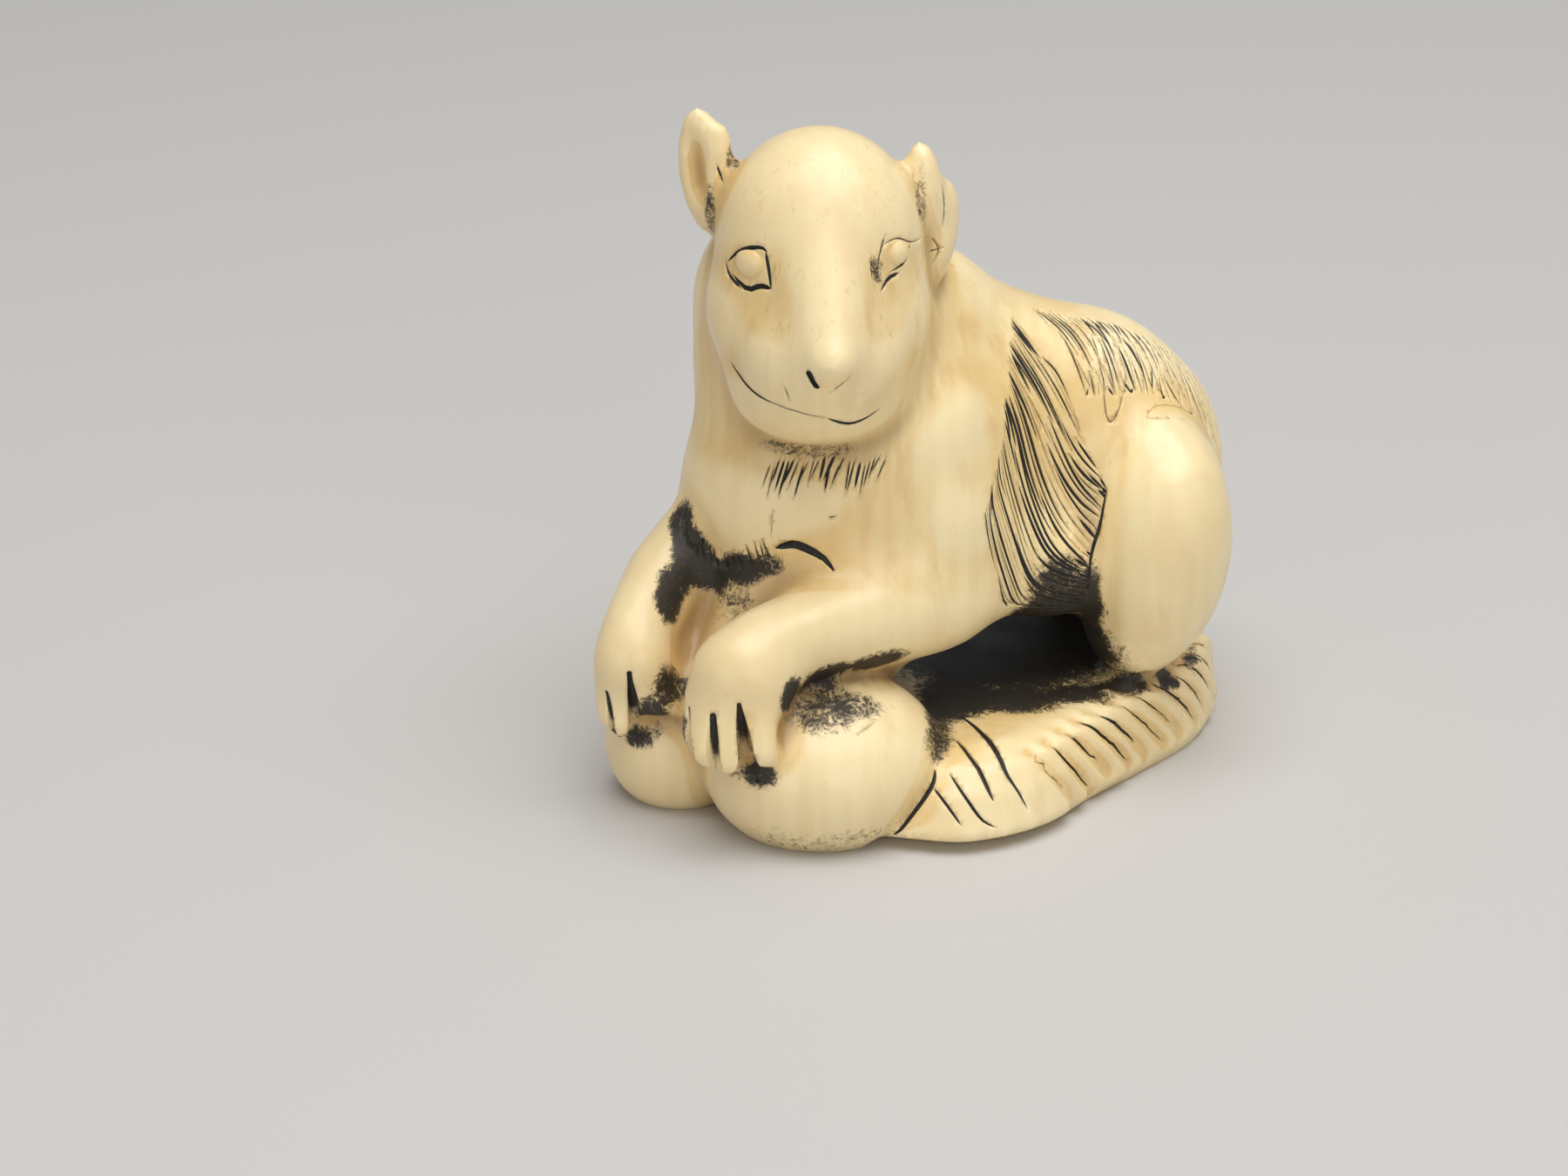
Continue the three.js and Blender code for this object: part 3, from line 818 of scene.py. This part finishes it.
# Where a mark begins to show and where it shows fully.
WORN_AND_HIGHLIT = (-0.02, -0.12)  # how proud the skin stands, in millimetres
GRIMY_AND_SHADED = (0.03, 0.42)  # how deep it lies in a hollow, in millimetres
SMEARED_AND_SHADED = (1.75, 2.3)  # how dense the rubbed black and the painted shade are, with their raggedness
BLACKENED = (1.95, 2.35)
FILLED = (0.06, 0.1)  # how deep a cut is, in millimetres


def linear(code):
    """A colour written as sRGB hex, as the linear values that a shader takes."""
    levels = [int(code[place : place + 2], 16) / 255 for place in (1, 3, 5)]
    return (*[c / 12.92 if c <= 0.04045 else ((c + 0.055) / 1.055) ** 2.4 for c in levels], 1)


def per_mm(size):
    """The scale at which a texture's features are this many millimetres across."""
    return 1 / (size * MM)


def node(tree, kind, inputs=None, output=0, **settings):
    """Adds a node with its settings, and its inputs linked or set, and gives the output asked for."""
    new = tree.nodes.new(kind)
    for name, value in settings.items():
        setattr(new, name, value)
    for name, value in (inputs or {}).items():
        if isinstance(value, bpy.types.NodeSocket):
            tree.links.new(value, new.inputs[name])
        else:
            new.inputs[name].default_value = value
    return new if output is None else new.outputs[output]


def noise(size, detail=3, roughness=0.55):
    """The inputs of a noise whose patches are this many millimetres across."""
    return {"Scale": per_mm(size), "Detail": detail, "Roughness": roughness}


def ramp(value, low, high, reach=1.0):
    """The inputs of a smooth rise from nothing at low to reach at high."""
    return {"Value": value, "From Min": low, "From Max": high, "To Max": reach}


def ivory():
    """Polished ivory, hand-rubbed with black: the cut lines and hollows keep the black, and black is also
    painted as shade in the cord passage, under the belly, under the jaw and under the near fingers. Hollows
    and creases are browned with grime and painted shade, the high places are worn pale and carry a painted
    highlight, the left side is warmed by handling patina and painted shade, and the faint upright bands are
    the grain of the tusk. Cut with gravers, then polished."""
    material = bpy.data.materials.new("polished_ivory_with_rubbed_black_and_painted_shade")
    material.use_nodes = True
    tree = material.node_tree
    tree.nodes.clear()
    map_range, mix = "ShaderNodeMapRange", "ShaderNodeMix"
    smooth = {"interpolation_type": "SMOOTHSTEP"}
    colour = {"data_type": "RGBA", "output": 2}
    place = node(tree, "ShaderNodeTexCoord", output="Object")
    depth = node(tree, "ShaderNodeAttribute", attribute_name="depth", output="Fac")
    ink_and_shade = node(tree, "ShaderNodeAttribute", attribute_name="ink_and_shade", output="Fac")
    hollow = node(tree, "ShaderNodeAttribute", attribute_name="hollow", output="Fac")

    patches = node(tree, "ShaderNodeTexNoise", {"Vector": place, **noise(9)})
    warm = node(tree, map_range, ramp(patches, 0.42, 0.68), **smooth)
    skin = node(tree, mix, {0: warm, 6: linear(PALE_IVORY), 7: linear(WARM_IVORY)}, **colour)

    bands = node(tree, "ShaderNodeTexWave", {
        "Vector": place, "Scale": 0.314 * per_mm(1.3), "Distortion": 1.2, "Detail": 2, "Detail Scale": 0.6,
    }, output="Fac")
    band = node(tree, map_range, ramp(bands, 0.25, 1, 0.3), **smooth)
    skin = node(tree, mix, {0: band, 6: skin, 7: linear(WARM_IVORY)}, **colour)

    upright = node(tree, "ShaderNodeMapping", {"Vector": place, "Scale": (1, 1, 0.1)})
    fine = node(tree, "ShaderNodeTexNoise", {"Vector": upright, **noise(0.45, 2)})
    height = node(tree, "ShaderNodeSeparateXYZ", {0: place}, output="Z")
    on_head = node(tree, map_range, ramp(height, 26 * MM, 33 * MM, 0.5), **smooth)
    line = node(tree, map_range, ramp(fine, 0.58, 0.74), **smooth)
    streak = node(tree, "ShaderNodeMath", {0: line, 1: on_head}, operation="MULTIPLY")
    skin = node(tree, mix, {0: streak, 6: skin, 7: linear(STREAK_BROWN)}, **colour)

    wide = node(tree, "ShaderNodeTexNoise", {"Vector": upright, **noise(1.5, 3)})
    grain = node(tree, map_range, ramp(wide, 0.48, 0.68, 0.5), **smooth)
    skin = node(tree, mix, {0: grain, 6: skin, 7: linear(GRAIN_AMBER)}, **colour)

    # amber towards -X: handling patina, and painted shade on the left side
    across = node(tree, "ShaderNodeSeparateXYZ", {0: place}, output="X")
    handled_and_shaded = node(tree, map_range, ramp(across, 6 * MM, -15 * MM, 0.42), **smooth)
    skin = node(tree, mix, {0: handled_and_shaded, 6: skin, 7: linear(HONEY)}, **colour)

    # paler on proud places: wear, and a painted highlight
    worn_and_highlit = node(tree, map_range, ramp(hollow, *WORN_AND_HIGHLIT, 0.5), **smooth)
    skin = node(tree, mix, {0: worn_and_highlit, 6: skin, 7: linear(WORN_AND_HIGHLIT_IVORY)}, **colour)
    # brown in hollows and creases: grime, and painted shade
    grime_and_shade = node(tree, map_range, ramp(hollow, *GRIMY_AND_SHADED, 0.75), **smooth)
    skin = node(tree, mix, {0: grime_and_shade, 6: skin, 7: linear(HOLLOW_BROWN)}, **colour)

    # ragged black: ink rubbed in, and black painted as shade in the cord passage, under the belly, the jaw
    # and the near fingers
    rubbing = node(tree, "ShaderNodeTexNoise", {"Vector": place, "Distortion": 1.2, **noise(0.6, 10, 0.85)})
    ragged = node(tree, "ShaderNodeMath", {0: rubbing, 1: 3.0, 2: ink_and_shade}, operation="MULTIPLY_ADD")
    smear_and_shade = node(tree, map_range, ramp(ragged, *SMEARED_AND_SHADED, 0.7), **smooth)
    skin = node(tree, mix, {0: smear_and_shade, 6: skin, 7: linear(SMEAR_AND_SHADE_BROWN)}, **colour)
    rubbed_and_shaded = node(tree, map_range, ramp(ragged, *BLACKENED, 0.97), **smooth)
    patchy = node(tree, "ShaderNodeMath", {0: rubbing, 1: 0.08, 2: depth}, operation="MULTIPLY_ADD")
    filled = node(tree, map_range, ramp(patchy, *FILLED), **smooth)
    black = node(tree, "ShaderNodeMath", {0: rubbed_and_shaded, 1: filled}, operation="MAXIMUM")
    thin = node(tree, map_range, ramp(rubbing, 0.5, 0.62), **smooth)
    ink_and_shadow = node(tree, mix, {0: thin, 6: linear(INK_AND_SHADOW_BLACK), 7: linear(INK_AND_SHADOW_BROWN)}, **colour)
    paint = node(tree, mix, {0: black, 6: skin, 7: ink_and_shadow}, **colour)

    dull = node(tree, "ShaderNodeTexNoise", {"Vector": place, **noise(3)})
    gloss = node(tree, map_range, {
        "Value": dull, "From Min": 0.3, "From Max": 0.7, "To Min": 0.27, "To Max": 0.42,
    })
    rough = node(tree, "ShaderNodeMath", {0: black, 1: 0.22, 2: gloss}, operation="MULTIPLY_ADD")
    pores = node(tree, "ShaderNodeTexNoise", {"Vector": place, **noise(0.5, 4)})
    relief = node(tree, "ShaderNodeBump", {"Strength": 0.25, "Distance": 0.02 * MM, "Height": pores})
    surface = node(tree, "ShaderNodeBsdfPrincipled", {
        "Base Color": paint, "Roughness": rough, "Normal": relief, "IOR": 1.54,
        "Subsurface Weight": 0.16, "Subsurface Radius": (1, 0.6, 0.3), "Subsurface Scale": 0.9 * MM,
    })
    node(tree, "ShaderNodeOutputMaterial", {"Surface": surface}, output=None)
    return material


# --- Floor, light and camera ----------------------------------------------------------------------------


def matt(name, code):
    material = bpy.data.materials.new(name)
    material.use_nodes = True
    surface = material.node_tree.nodes["Principled BSDF"]
    surface.inputs["Base Color"].default_value = linear(code)
    surface.inputs["Roughness"].default_value = 0.7
    return material


def floor():
    bpy.ops.mesh.primitive_plane_add(size=6)
    ground = bpy.context.object
    ground.name = "floor"
    ground.data.materials.append(matt("matt_floor", FLOOR_GREY))


def soft_light(name, at, aim, width, watts):
    """A square soft light at a place, facing another."""
    lamp = bpy.data.lights.new(name, "AREA")
    lamp.size = width
    lamp.energy = watts
    holder = bpy.data.objects.new(name, lamp)
    bpy.context.scene.collection.objects.link(holder)
    holder.location = at
    holder.rotation_euler = (Vector(aim) - Vector(at)).to_track_quat("-Z", "Y").to_euler()


def studio():
    world = bpy.data.worlds.new("studio")
    world.use_nodes = True
    world.node_tree.nodes["Background"].inputs["Color"].default_value = linear(DAYLIGHT)
    world.node_tree.nodes["Background"].inputs["Strength"].default_value = 0.33
    bpy.context.scene.world = world
    soft_light("overhead", (0.05, -0.05, 0.42), (0, 0, 0.02), 0.4, 1.75)
    soft_light("front", (0.2, -0.5, 0.22), (0, 0, 0.02), 0.3, 0.4)
    soft_light("low", (-0.3, -0.4, 0.1), (0, 0, 0.01), 0.3, 0.3)
    bpy.context.scene.view_settings.view_transform = "Standard"


def camera():
    """Stands 30 cm away, 24 degrees above the floor."""
    aim = Vector((-0.00817, 0.00095, 0.0103))
    away = 0.3
    rise = math.radians(24)
    lens = bpy.data.cameras.new("camera")
    lens.lens = 111.1
    lens.clip_start = 0.01
    holder = bpy.data.objects.new("camera", lens)
    bpy.context.scene.collection.objects.link(holder)
    holder.location = aim + away * Vector((0, -math.cos(rise), math.sin(rise)))
    holder.rotation_euler = (math.pi / 2 - rise, 0, 0)
    bpy.context.scene.camera = holder


rat = bring_home(carving())
alone(rat)
bpy.ops.object.shade_smooth()
rat.data.materials.clear()
rat.data.materials.append(ivory())
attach(rat, "root")
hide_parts("rat_netsuke")
floor()
studio()
camera()
